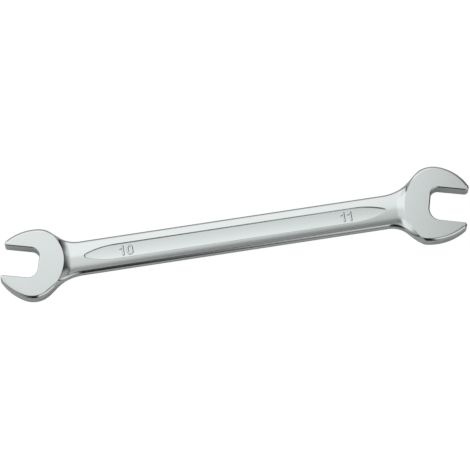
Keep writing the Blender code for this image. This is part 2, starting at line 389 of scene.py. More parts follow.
SMALL_HEAD = Head(
    nut_size=10.0 * MM,
    throat_reach=1.1 * MM,
    face_reach=9.45 * MM,
    face_shift=-1.15 * MM,
    face_radius=11.1 * MM,
    upper=Arm(
        tip_reach=10.5 * MM,
        tip_width=2.35 * MM,
        throat_radius=3.2 * MM,
        half_width=12.2 * MM,
        shoulder_radius=7.6 * MM,
        shoulder_setback=0.0 * MM,
        flank_radius=17.1 * MM,
        neck_radius=15.0 * MM,
        neck_straight=3.1 * MM,
        tip_inner_radius=0.7 * MM,
    ),
    lower=Arm(
        tip_reach=10.7 * MM,
        tip_width=2.4 * MM,
        throat_radius=2.9 * MM,
        half_width=12.1 * MM,
        shoulder_radius=7.7 * MM,
        shoulder_setback=0.5 * MM,
        flank_radius=16.5 * MM,
        neck_radius=9.0 * MM,
        neck_straight=3.6 * MM,
        tip_inner_radius=0.7 * MM,
    ),
)
LARGE_HEAD = Head(
    nut_size=11.0 * MM,
    throat_reach=0.8 * MM,
    face_reach=9.3 * MM,
    face_shift=-1.4 * MM,
    face_radius=13.0 * MM,
    upper=Arm(
        tip_reach=11.4 * MM,
        tip_width=2.7 * MM,
        throat_radius=2.5 * MM,
        half_width=13.1 * MM,
        shoulder_radius=8.4 * MM,
        shoulder_setback=0.0 * MM,
        flank_radius=14.9 * MM,
        neck_radius=14.5 * MM,
        neck_straight=2.2 * MM,
        tip_inner_radius=1.2 * MM,
    ),
    lower=Arm(
        tip_reach=11.8 * MM,
        tip_width=2.55 * MM,
        throat_radius=3.8 * MM,
        half_width=13.4 * MM,
        shoulder_radius=7.2 * MM,
        shoulder_setback=0.85 * MM,
        flank_radius=17.9 * MM,
        neck_radius=7.5 * MM,
        neck_straight=3.1 * MM,
        tip_inner_radius=0.9 * MM,
    ),
)


@dataclass(frozen=True)
class Panel:
    """The sunk panel on each side of the shank: straight sides that taper to a small round nose."""

    left: float
    right: float
    width: float = 5.3 * MM
    depth: float = 0.28 * MM
    dish: float = 0.06 * MM
    wall_run: float = 0.38 * MM
    taper_radius: float = 27.0 * MM
    nose_radius: float = 0.9 * MM

    @property
    def nose_reach(self) -> float:
        """Distance along the shank from a taper's centre to its nose's centre."""
        slant = self.taper_radius - self.nose_radius
        return math.sqrt(slant**2 - (self.taper_radius - self.width / 2) ** 2)

    def bends(self) -> list[Bend]:
        """Bends of the panel's edge.

        Returns:
            The bends in anticlockwise order.
        """
        drop = self.width / 2 - self.taper_radius
        right = self.right - self.nose_radius
        left = self.left + self.nose_radius
        reach = self.nose_reach
        return [
            Bend(complex(right, 0), self.nose_radius, 1),
            Bend(complex(right - reach, drop), self.taper_radius, 1),
            Bend(complex(left + reach, drop), self.taper_radius, 1),
            Bend(complex(left, 0), self.nose_radius, 1),
            Bend(complex(left + reach, -drop), self.taper_radius, 1),
            Bend(complex(right - reach, -drop), self.taper_radius, 1),
        ]

    def inset(self, places: np.ndarray) -> np.ndarray:
        """How far inside the panel's edge each place lies, negative outside.

        Args:
            places: places on the plan.

        Returns:
            The distances.
        """
        middle = (self.left + self.right) / 2
        taper_at = self.right - self.nose_radius - self.nose_reach - middle
        folded = np.abs(places.real - middle) + 1j * np.abs(places.imag)
        drop = self.width / 2 - self.taper_radius
        straight = self.width / 2 - folded.imag
        taper = self.taper_radius - np.abs(folded - complex(taper_at, drop))
        nose_centre = complex(taper_at + self.nose_reach, 0)
        nose = self.nose_radius - np.abs(folded - nose_centre)
        nose_angle = cmath.phase(nose_centre - complex(taper_at, drop))
        at_nose = (np.angle(folded - nose_centre) < nose_angle) & (folded.real > nose_centre.real)
        depth = np.where(folded.real > taper_at, taper, straight)
        return np.where(at_nose, nose, depth)


@dataclass(frozen=True)
class SizeNumber:
    """A raised number, drawn with one round-ended stroke for each line and loop of its figures."""

    digits: str
    centre: float
    height: float = 3.4 * MM
    stroke: float = 0.56 * MM
    rise: float = 0.26 * MM
    wall_run: float = 0.25 * MM
    pitch: float = 2.25 * MM
    flag: complex = complex(-0.85, -0.75) * MM
    loop_width: float = 1.42 * MM

    def stroke_gap(self, places: np.ndarray) -> np.ndarray:
        """Distance from each place to the nearest centre line of a stroke.

        Args:
            places: places on the plan, as seen by someone who reads the number.

        Returns:
            The distances.
        """
        nearest = np.full(places.shape, np.inf)
        half = self.height / 2 - self.stroke / 2
        for index, digit in enumerate(self.digits):
            shift = (index - (len(self.digits) - 1) / 2) * self.pitch
            local = places - self.centre - shift
            if digit == "1":
                stem = self.segment_gap(local, complex(0, -half), complex(0, half))
                flag = self.segment_gap(local, complex(0, half), complex(0, half) + self.flag)
                nearest = np.minimum(nearest, np.minimum(stem, flag))
            else:
                bend = self.loop_width / 2
                spine = self.segment_gap(local, complex(0, bend - half), complex(0, half - bend))
                nearest = np.minimum(nearest, np.abs(spine - bend))
        return nearest

    @staticmethod
    def segment_gap(places: np.ndarray, start: complex, end: complex) -> np.ndarray:
        """Distance from each place to a straight segment.

        Args:
            places: places on the plan.
            start: one end of the segment.
            end: the other end.

        Returns:
            The distances.
        """
        side = end - start
        share = np.clip(((places - start) * side.conjugate()).real / abs(side) ** 2, 0.0, 1.0)
        return np.abs(places - start - share * side)

    def raised(self, places: np.ndarray) -> np.ndarray:
        """How far the number stands out of the panel's floor at each place."""
        past_edge = self.stroke / 2 + self.wall_run / 2 - self.stroke_gap(places)
        return self.rise * soft_step(past_edge / self.wall_run)

    def grid(self, spacing: float) -> np.ndarray:
        """Places spread closely over the number and its walls.

        Args:
            spacing: the distance between places.

        Returns:
            The places.
        """
        reach = self.stroke + self.wall_run
        half_width = (len(self.digits) * self.pitch) / 2 + reach
        half_height = self.height / 2 + self.wall_run
        across = spread(-half_height, half_height, spacing)
        along = spread(self.centre - half_width, self.centre + half_width, spacing)
        places = (along[:, None] + 1j * across[None, :]).ravel()
        return places[self.stroke_gap(places) < reach]


@dataclass(frozen=True)
class WrenchForm:
    """The whole forging as a plan outline and as a height over that plan on each side."""

    small: Head = SMALL_HEAD
    large: Head = LARGE_HEAD
    overall_length: float = 155.0 * MM
    head_thickness: float = 5.0 * MM
    shank_width: float = 11.5 * MM
    shank_thickness: float = 4.2 * MM
    shank_edge_thickness: float = 2.65 * MM
    crown_reach: float = 1.03
    neck_rise_run: float = 2.7 * MM
    face_dome: float = 0.10 * MM
    face_dome_reach: float = 12.0 * MM
    panel_ends: tuple[float, float] = (-49.8 * MM, 49.4 * MM)
    number_places: tuple[float, float] = (-36.0 * MM, 36.5 * MM)

    def head_centre(self, head: Head) -> float:
        """Distance from the wrench's middle to a head's own origin."""
        outline = outline_of(head.bends(self.shank_width), MEASURING_SAGITTA, MM)
        return self.overall_length / 2 - outline.places.real.max()

    def face_apex(self, head: Head) -> complex:
        """Apex of the arc that ends a head's face, seen from the wrench's middle with the head at +X."""
        return complex(self.head_centre(head) - head.face_reach, head.face_shift)

    def bends(self) -> list[Bend]:
        """The whole outline.

        Returns:
            The bends in anticlockwise order, of the large head at +X and then of the small head at -X.
        """
        bends = []
        for head, end in ((self.large, 1), (self.small, -1)):
            offset = end * self.head_centre(head)
            bends.extend(bend.placed(end, offset) for bend in head.bends(self.shank_width))
        return bends

    def panel(self) -> Panel:
        """The sunk panel."""
        left, right = self.panel_ends
        return Panel(left, right)

    def numbers(self) -> list[SizeNumber]:
        """The raised numbers, each beside its own jaw."""
        left, right = self.number_places
        return [SizeNumber("10", left), SizeNumber("11", right)]

    def crown_fall(self, share: np.ndarray | float) -> np.ndarray | float:
        """Fall of the crown at a share of the shank's half width, not yet scaled to the edge."""
        return share**2 / np.cbrt(1 + (share / self.crown_reach) ** 6)

    def crown(self, across: np.ndarray) -> np.ndarray:
        """Half thickness of the crowned skin at a distance from its centre line.

        Args:
            across: the distance, which may reach past the shank into the necks, where the fall eases off.

        Returns:
            The half thickness.
        """
        edge_fall = (self.shank_thickness - self.shank_edge_thickness) / 2
        share = 2 * across / self.shank_width
        return self.shank_thickness / 2 - edge_fall * self.crown_fall(share) / self.crown_fall(1)

    def neck_place(self, head: Head, end: int, share: float, across: np.ndarray) -> np.ndarray:
        """Places on one of the curves that the neck rises through.

        Args:
            head: the head that the neck leads to.
            end: 1 at +X and -1 at -X.
            share: 0 where the skin starts to rise, 1 at the edge of the head's face.
            across: distances off the shank's centre line.

        Returns:
            The places.
        """
        apex = self.face_apex(head)
        sag = (end * across - apex.imag) ** 2 / (2 * head.face_radius)
        along = apex.real - self.neck_rise_run * (1 - share) + sag
        return end * along + 1j * across


class HeightField:
    """Heights of the two skins over the plan, with the values that they need worked out once."""

    def __init__(self, form: WrenchForm) -> None:
        """Works out the fixed places.

        Args:
            form: the wrench's form.
        """
        self.form = form
        self.panel = form.panel()
        self.numbers = form.numbers()
        heads = ((1, form.large), (-1, form.small))
        self.apexes = [(end, head, form.face_apex(head)) for end, head in heads]
        self.head_centres = [end * form.head_centre(head) for end, head in heads]
        edge_crown = float(form.crown(np.array([self.panel.width / 2]))[0])
        self.floor = edge_crown - self.panel.depth

    def rise_share(self, places: np.ndarray) -> np.ndarray:
        """How far through the nearer neck each place lies: 0 at its foot and 1 at the edge of the face.

        Args:
            places: places on the plan.

        Returns:
            The shares, held at -1 on the shank and at 1 on the faces.
        """
        share = np.full(places.shape, -1.0)
        for end, head, apex in self.apexes:
            away = end * places - apex
            past = away.real - away.imag**2 / (2 * head.face_radius)
            share = np.maximum(share, 1 + past / self.form.neck_rise_run)
        return np.clip(share, -1.0, 1.0)

    def bare(self, places: np.ndarray) -> np.ndarray:
        """Half thickness at each place before the rim, the panel and the numbers.

        Args:
            places: places on the plan.

        Returns:
            The heights from the middle plane.
        """
        crown = self.form.crown(places.imag)
        rise = np.maximum(self.rise_share(places), 0.0) ** 2
        return crown + (self.face(places) - crown) * rise

    def face(self, places: np.ndarray) -> np.ndarray:
        """Half thickness of the nearer head's ground face, which polishing has left slightly domed.

        Args:
            places: places on the plan.

        Returns:
            The heights from the middle plane.
        """
        centres = np.where(places.real > 0, *self.head_centres)
        sag = self.form.face_dome * (np.abs(places - centres) / self.form.face_dome_reach) ** 2
        return self.form.head_thickness / 2 - sag

    def full(self, places: np.ndarray, side: Side) -> np.ndarray:
        """Half thickness at each place with the panel and the numbers.

        Args:
            places: places on the plan.
            side: the side that is looked at, because each one's numbers are read from there.

        Returns:
            The heights from the middle plane.
        """
        bare = self.bare(places)
        inset = self.panel.inset(places)
        share = soft_step(inset / self.panel.wall_run)
        across = np.clip(2 * places.imag / self.panel.width, -1.0, 1.0)
        floor = self.floor - self.panel.dish * (1 - across**2)
        height = bare + (floor - bare) * share
        read = places if side is Side.UPPER else places.conjugate()
        for number in self.numbers:
            height = height + number.raised(read)
        return height

    def slopes(self, places: np.ndarray, side: Side) -> np.ndarray:
        """Slope of the skin at each place.

        Args:
            places: places on the plan.
            side: the side of the wrench.

        Returns:
            The slopes, as x slope + y slope i.
        """
        step = SLOPE_STEP
        along = self.full(places + step, side) - self.full(places - step, side)
        across = self.full(places + 1j * step, side) - self.full(places - 1j * step, side)
        return (along + 1j * across) / (2 * step)

    def is_face(self, places: np.ndarray) -> np.ndarray:
        """Which places lie on the ground face of a head."""
        return self.rise_share(places) == 1.0


# The forging's surface


@dataclass(frozen=True)
class Fineness:
    """Spacing of the points that the surface is built from.

    clear is the gap that loose points keep from lines. slope_inset is how far towards a triangle's middle
    the slope at its corner is read, as a share of the way.
    """

    sagitta: float = 0.002 * MM
    longest: float = 0.6 * MM
    rim_steps: int = 8
    wall_steps: int = 6
    shank_along: float = 0.9 * MM
    shank_across: float = 0.55 * MM
    neck_along: float = 0.2 * MM
    neck_across: float = 0.6 * MM
    face_spacing: float = 0.9 * MM
    panel_steps: int = 8
    number_grid: float = 0.07 * MM
    clear: float = 0.12 * MM
    merge: float = 0.00005 * MM
    edge_search: float = 0.01 * MM
    slope_inset: float = 0.02


@dataclass
class SkinPoints:
    """Points of one skin, with their heights and the edges that its triangles keep to."""

    places: list[complex] = field(default_factory=list)
    heights: list[float] = field(default_factory=list)
    edges: list[tuple[int, int]] = field(default_factory=list)

    def add(self, places: np.ndarray, heights: np.ndarray) -> int:
        """Adds loose points.

        Args:
            places: their places.
            heights: their heights.

        Returns:
            The index of the first one.
        """
        first = len(self.places)
        self.places.extend(places.tolist())
        self.heights.extend(heights.tolist())
        return first

    def add_line(self, places: np.ndarray, heights: np.ndarray, closed: bool) -> None:
        """Adds points joined by edges.

        Args:
            places: their places in order.
            heights: their heights.
            closed: whether the last one joins the first.
        """
        first = self.add(places, heights)
        last = len(self.places) - 1
        self.edges.extend((k, k + 1) for k in range(first, last))
        if closed:
            self.edges.append((last, first))


@dataclass
class MeshParts:
    """Corners, faces, corner normals and regions gathered for one mesh."""

    corners: list[tuple[float, float, float]] = field(default_factory=list)
    faces: list[tuple[int, ...]] = field(default_factory=list)
    normals: list[tuple[float, float, float]] = field(default_factory=list)
    regions: list[int] = field(default_factory=list)

    def add_face(self, face: tuple[int, ...], normals: list[Vector], region: Region) -> None:
        """Adds a face.

        Args:
            face: indices of its corners.
            normals: the shading normal at each corner.
            region: the region that it belongs to.
        """
        self.faces.append(face)
        self.normals.extend(tuple(normal.normalized()) for normal in normals)
        self.regions.append(region.value)


class ForgingSurface:
    """Builds the closed surface of the wrench: two skins with rounded rims, and the wall between them."""

    def __init__(self, form: WrenchForm, fineness: Fineness) -> None:
        """Works out the outline and the heights.

        Args:
            form: the wrench's form.
            fineness: the spacing of its points.
        """
        self.form = form
        self.fineness = fineness
        self.field = HeightField(form)
        self.edge = outline_of(form.bends(), fineness.sagitta, fineness.longest)
        self.count = len(self.edge.places)
        bare = self.field.bare(self.edge.places)
        self.lean = np.arctan2(2 * self.edge.drafts, bare)
        rings = [self.rim_ring(step)[0] for step in range(fineness.rim_steps + 1)]
        self.rim_slopes = [self.field.slopes(ring, Side.UPPER) for ring in rings]

    def rim_angle(self, step: int) -> np.ndarray:
        """Angle of the rim's normal above the plan at one of its rings, for each point."""
        return self.lean + (math.pi / 2 - self.lean) * step / self.fineness.rim_steps

    def rim_ring(self, step: int) -> tuple[np.ndarray, np.ndarray]:
        """Places and heights of one ring of the rounded rim.

        Args:
            step: 0 at the wall, up to the fineness's rim_steps at the skin.

        Returns:
            The places and the heights.
        """
        angle = self.rim_angle(step)
        inward = self.edge.drafts + self.edge.rims * (np.cos(self.lean) - np.cos(angle))
        places = self.edge.inset(inward)
        return places, self.field.bare(places) - self.edge.rims * (1 - np.sin(angle))

    def face_edge(self, head: Head, end: int, limit: np.ndarray) -> np.ndarray:
        """Places along the crisp edge where a head's ground face meets the neck.

        Args:
            head: the head.
            end: 1 at +X and -1 at -X.
            limit: the innermost ring of the rim.

        Returns:
            The places in order, which stop just inside the rim.
        """
        widest = max(head.lower.half_width, head.upper.half_width)
        fine = spread(-widest, widest, self.fineness.edge_search)
        within = np.flatnonzero(inside(self.form.neck_place(head, end, 1.0, fine), limit))
        middle = within[len(within) // 2]
        breaks = np.flatnonzero(np.diff(within) > 1)
        starts = [within[0], *within[breaks + 1]]
        stops = [*within[breaks], within[-1]]
        first, last = next((a, b) for a, b in zip(starts, stops) if a <= middle <= b)
        across = spread(float(fine[first]), float(fine[last]), self.fineness.neck_across)
        return self.form.neck_place(head, end, 1.0, across)

    def neck_grid(self, head: Head, end: int) -> np.ndarray:
        """Places spread over a neck in rows that follow its rise, short of the face's edge.

        Args:
            head: the head that the neck leads to.
            end: 1 at +X and -1 at -X.

        Returns:
            The places.
        """
        fine, run = self.fineness, self.form.neck_rise_run
        across = spread(-head.lower.half_width, head.upper.half_width, fine.neck_across)
        shares = spread(0.0, 1 - fine.clear / run, fine.neck_along / run)
        return np.concatenate([self.form.neck_place(head, end, share, across) for share in shares])

    def face_grid(self, head: Head, end: int) -> np.ndarray:
        """Places spread over a head's ground face, short of the face's edge.

        Args:
            head: the head.
            end: 1 at +X and -1 at -X.

        Returns:
            The places.
        """
        spacing = self.fineness.face_spacing
        across = spread(-head.lower.half_width, head.upper.half_width, spacing)
        along = spread(self.form.face_apex(head).real, self.form.overall_length / 2, spacing)
        places = end * (along[:, None] + 1j * across[None, :]).ravel()
        return places[self.field.is_face(places - end * self.fineness.clear)]

    def skin_points(self, side: Side) -> SkinPoints:
        """The points of one skin.

        Args:
            side: the side of the wrench.

        Returns:
            The points, with the rings of the rim first.
        """
        fine, form, levels = self.fineness, self.form, self.field
        skin = SkinPoints()
        limit = self.edge.places
        for step in range(fine.rim_steps + 1):
            limit, heights = self.rim_ring(step)
            skin.add_line(limit, heights, closed=True)
        heads = ((form.large, 1), (form.small, -1))
        for head, end in heads:
            places = self.face_edge(head, end, limit)
            skin.add_line(places, levels.face(places), closed=False)
        panel_edge = outline_of(levels.panel.bends(), fine.sagitta, fine.longest)
        for step in range(fine.panel_steps + 1):
            ring = panel_edge.inset(levels.panel.wall_run * step / fine.panel_steps)
            skin.add_line(ring, levels.full(ring, side), closed=True)
        half = form.shank_width / 2
        along = spread(-form.head_centre(form.small), form.head_centre(form.large), fine.shank_along)
        across = spread(-half, half, fine.shank_across)
        crown = (along[:, None] + 1j * across[None, :]).ravel()
        grids = [crown[levels.rise_share(crown) < 0]]
        for head, end in heads:
            grids += [self.neck_grid(head, end), self.face_grid(head, end)]
        loose = np.concatenate(grids)
        loose = loose[inside(loose, limit)]
        loose = loose[gap_to(loose, limit) > fine.clear]
        loose = loose[levels.panel.inset(loose) < -fine.clear]
        skin.add(loose, levels.full(loose, side))
        for number in levels.numbers:
            grid = number.grid(fine.number_grid)
            grid = grid if side is Side.UPPER else grid.conjugate()
            skin.add(grid, levels.full(grid, side))
        return skin

    def rim_normal(self, step: int, point: int, side: Side) -> Vector:
        """The shading normal at a point of the rim.

        Args:
            step: the ring's number.
            point: the point's number along the outline.
            side: the side of the wrench.

        Returns:
            The normal.
        """
        angle = self.rim_angle(step)[point]
        outward = self.edge.normals[point] * math.cos(angle)
        slope = self.rim_slopes[step][point] * math.sin(angle)
        return Vector((outward.real - slope.real, outward.imag - slope.imag, side.value * math.sin(angle)))

    def add_skin(self, parts: MeshParts, side: Side) -> np.ndarray:
        """Triangulates one skin and adds it.

        Args:
            parts: the mesh that is gathered.
            side: the side of the wrench.

        Returns:
            The mesh's corner index for each point of the outline.
        """
        skin = self.skin_points(side)
        flat = [Vector((place.real, place.imag)) for place in skin.places]
        whole_hull = 0
        keep_ids = True
        found = delaunay_2d_cdt(flat, skin.edges, [], whole_hull, self.fineness.merge, keep_ids)
        places = np.array([complex(place.x, place.y) for place in found[0]])
        sources = np.array([ids[0] if ids else -1 for ids in found[3]])
        heights = np.where(sources >= 0, np.array(skin.heights)[sources], self.field.full(places, side))
        middle = self.form.head_thickness / 2
        first = len(parts.corners)
        parts.corners.extend(
            (place.real, place.imag, middle + side.value * height) for place, height in zip(places, heights)
        )
        triangles = np.array([face for face in found[2] if len(face) == 3])
        centres = places[triangles].mean(axis=1)
        triangles = triangles[inside(centres, self.rim_ring(0)[0])]
        centres = places[triangles].mean(axis=1)
        last_ring = self.fineness.rim_steps * self.count
        ring_end = last_ring + self.count
        of_rim = (sources[triangles] >= 0) & (sources[triangles] < ring_end)
        before_last = sources[triangles] < last_ring
        on_rim = of_rim.all(axis=1) & before_last.any(axis=1)
        inward = centres[:, None] - places[triangles]
        near = places[triangles] + self.fineness.slope_inset * inward
        slopes = self.field.slopes(near, side)
        on_face = self.field.is_face(centres)
        for row, triangle in enumerate(triangles):
            normals = []
            for corner in range(3):
                if on_rim[row]:
                    step, point = divmod(int(sources[triangle[corner]]), self.count)
                    normals.append(self.rim_normal(step, point, side))
                else:
                    slope = slopes[row, corner]
                    normals.append(Vector((-slope.real, -slope.imag, side.value)))
            ids = [first + int(k) for k in triangle]
            if side is Side.LOWER:
                ids.reverse()
                normals.reverse()
            region = Region.GROUND if on_face[row] and not on_rim[row] else Region.FORGED
            parts.add_face(tuple(ids), normals, region)
        order = {int(source): first + k for k, source in enumerate(sources) if 0 <= source < self.count}
        return np.array([order[k] for k in range(self.count)])

    def add_wall(self, parts: MeshParts, upper: np.ndarray, lower: np.ndarray) -> None:
        """Adds the side wall, which bulges a little between the two rims.

        Args:
            parts: the mesh that is gathered.
            upper: the corner index for each point of the upper rim.
            lower: the same for the lower rim.
        """
        steps = self.fineness.wall_steps
        edge = self.edge
        top = self.rim_ring(0)[1]
        middle = self.form.head_thickness / 2
        rows = [upper]
        for step in range(1, steps):
            level = 1 - 2 * step / steps
            places = edge.inset(edge.drafts * level**2)
            first = len(parts.corners)
            parts.corners.extend(
                (place.real, place.imag, middle + level * height) for place, height in zip(places, top)
            )
            rows.append(np.arange(first, first + self.count))
        rows.append(lower)
        for step in range(steps):
            levels = (1 - 2 * step / steps, 1 - 2 * (step + 1) / steps)
            for here in range(self.count):
                there = (here + 1) % self.count
                corners = ((step, here), (step + 1, here), (step + 1, there), (step, there))
                face = tuple(int(rows[row][point]) for row, point in corners)
                normals = []
                for row, point in corners:
                    angle = self.lean[point] * levels[row - step]
                    outward = edge.normals[point] * math.cos(angle)
                    normals.append(Vector((outward.real, outward.imag, math.sin(angle))))
                jaw = bool(edge.broached[here] and edge.broached[there])
                parts.add_face(face, normals, Region.BROACHED if jaw else Region.FORGED)

    def mesh(self, name: str) -> bpy.types.Mesh:
        """Builds the whole surface.

        Args:
            name: the mesh's name.

        Returns:
            The mesh, with its shading normals and a region on each face.
        """
        parts = MeshParts()
        upper = self.add_skin(parts, Side.UPPER)
        lower = self.add_skin(parts, Side.LOWER)
        self.add_wall(parts, upper, lower)
        mesh = bpy.data.meshes.new(name)
        mesh.from_pydata(parts.corners, [], parts.faces)
        mesh.polygons.foreach_set("material_index", parts.regions)
        mesh.shade_smooth()
        mesh.normals_split_custom_set(parts.normals)
        mesh.update()
        return mesh


# Finishes


class NodeKit:
    """Adds and joins nodes of one tree."""

    def __init__(self, tree: bpy.types.NodeTree) -> None:
        """Keeps the tree.

        Args:
            tree: the node tree to build in.
        """
        self.tree = tree

    def add(self, kind: str, **settings: object) -> bpy.types.Node:
        """Adds a node.

        Args:
            kind: the node's type name.
            **settings: values for the node's own properties.

        Returns:
            The node.
        """
        node = self.tree.nodes.new(kind)
        for name, value in settings.items():
            setattr(node, name, value)
        return node

    def join(self, source: bpy.types.NodeSocket, target: bpy.types.NodeSocket) -> None:
        """Links an output to an input."""
        self.tree.links.new(source, target)

    def maths(self, operation: str, first: object, second: object = None) -> bpy.types.NodeSocket:
        """Adds a Math node.

        Args:
            operation: its operation.
            first: a socket or a number.
            second: a socket or a number, where the operation takes two.

        Returns:
            The node's output.
        """
        node = self.add("ShaderNodeMath", operation=operation)
        for slot, value in enumerate((first, second)):
            if isinstance(value, bpy.types.NodeSocket):
                self.join(value, node.inputs[slot])
            elif value is not None:
                node.inputs[slot].default_value = value
        return node.outputs[0]


Sockets = dict[str, bpy.types.NodeSocket]


def new_group(
    name: str, inputs: dict[str, float], outputs: tuple[str, ...]
) -> tuple[NodeKit, Sockets, Sockets]:
    """Makes an empty shader node group.

    Args:
        name: the group's name.
        inputs: the name and first value of each input.
        outputs: the name of each output.
    """
    tree = bpy.data.node_groups.new(name, "ShaderNodeTree")
    for label, value in inputs.items():
        socket = tree.interface.new_socket(name=label, in_out="INPUT", socket_type="NodeSocketFloat")
        socket.default_value = value
    for label in outputs:
        tree.interface.new_socket(name=label, in_out="OUTPUT", socket_type="NodeSocketFloat")
    kit = NodeKit(tree)
    entry = kit.add("NodeGroupInput")
    leave = kit.add("NodeGroupOutput")
    given = {socket.name: socket for socket in entry.outputs if socket.name}
    result = {socket.name: socket for socket in leave.inputs if socket.name}
    return kit, given, result


class Effects:
    """The node groups that the finishes share."""

    def __init__(self) -> None:
        """Builds the groups."""
        self.grain = self.build_grain()
        self.peel = self.build_peel()
        self.mottle = self.build_mottle()

    @staticmethod
    def build_grain() -> bpy.types.NodeTree:
        """Fine lines left by grinding or broaching, along one direction.

        Returns:
            The group's tree.
        """
        labels = {"Line Width": 0.0002, "Line Length": 0.004, "Angle": 0.0, "Tilt": 0.0}
        kit, given, result = new_group("tool_grain", labels, ("Height",))
        place = kit.add("ShaderNodeTexCoord")
        turn = kit.add("ShaderNodeCombineXYZ")
        kit.join(given["Tilt"], turn.inputs["Y"])
        kit.join(given["Angle"], turn.inputs["Z"])
        size = kit.add("ShaderNodeCombineXYZ")
        for axis, measure in (("X", "Line Length"), ("Y", "Line Width"), ("Z", "Line Width")):
            kit.join(kit.maths("DIVIDE", 1.0, given[measure]), size.inputs[axis])
        spin = kit.add("ShaderNodeVectorRotate", rotation_type="EULER_XYZ")
        kit.join(place.outputs["Object"], spin.inputs["Vector"])
        kit.join(turn.outputs[0], spin.inputs["Rotation"])
        stretch = kit.add("ShaderNodeVectorMath", operation="MULTIPLY")
        kit.join(spin.outputs[0], stretch.inputs[0])
        kit.join(size.outputs[0], stretch.inputs[1])
        lines = kit.add("ShaderNodeTexNoise")
        lines.inputs["Scale"].default_value = 1.0
        lines.inputs["Detail"].default_value = 3.0
        lines.inputs["Roughness"].default_value = 0.65
        kit.join(stretch.outputs[0], lines.inputs["Vector"])
        kit.join(lines.outputs["Fac"], result["Height"])
        return kit.tree

    @staticmethod
    def build_peel() -> bpy.types.NodeTree:
        """The soft dimples of a forged and tumbled skin, with finer pits in them.

        Returns:
            The group's tree.
        """
        labels = {"Dimple Size": 0.0008, "Pit Share": 0.3}
        kit, given, result = new_group("forged_peel", labels, ("Height",))
        place = kit.add("ShaderNodeTexCoord")
        scale = kit.maths("DIVIDE", 1.0, given["Dimple Size"])
        dimples = kit.add("ShaderNodeTexNoise")
        dimples.inputs["Detail"].default_value = 2.0
        kit.join(place.outputs["Object"], dimples.inputs["Vector"])
        kit.join(scale, dimples.inputs["Scale"])
        pits = kit.add("ShaderNodeTexNoise")
        pits.inputs["Detail"].default_value = 4.0
        pits.inputs["Roughness"].default_value = 0.7
        kit.join(place.outputs["Object"], pits.inputs["Vector"])
        kit.join(kit.maths("MULTIPLY", scale, 6.0), pits.inputs["Scale"])
        fine = kit.maths("MULTIPLY", pits.outputs["Fac"], given["Pit Share"])
        kit.join(kit.maths("ADD", dimples.outputs["Fac"], fine), result["Height"])
        return kit.tree

    @staticmethod
    def build_mottle() -> bpy.types.NodeTree:
        """Slow changes of the plating's tone and gloss from place to place.

        Returns:
            The group's tree.
        """
        labels = {"Patch Size": 0.012, "Tone Change": 0.03, "Roughness": 0.25, "Roughness Change": 0.04}
        kit, given, result = new_group("plating_mottle", labels, ("Tone", "Roughness"))
        changes = (
            ("Tone", "Tone Change", 1.0, 0.0),
            ("Roughness", "Roughness Change", given["Roughness"], 7.3),
        )
        place = kit.add("ShaderNodeTexCoord")
        scale = kit.maths("DIVIDE", 1.0, given["Patch Size"])
        for output, change, level, shift in changes:
            moved = kit.add("ShaderNodeVectorMath", operation="ADD")
            moved.inputs[1].default_value = (shift, shift, shift)
            kit.join(place.outputs["Object"], moved.inputs[0])
            patches = kit.add("ShaderNodeTexNoise")
            patches.inputs["Detail"].default_value = 3.0
            kit.join(moved.outputs[0], patches.inputs["Vector"])
            kit.join(scale, patches.inputs["Scale"])
            centred = kit.maths("SUBTRACT", patches.outputs["Fac"], 0.5)
            swing = kit.maths("MULTIPLY", kit.maths("MULTIPLY", centred, 2.0), given[change])
            kit.join(kit.maths("ADD", swing, level), result[output])
        return kit.tree


PLATING_COLOUR = (0.765, 0.812, 0.803)
JAW_WALL_COLOUR = (0.72, 0.765, 0.76)


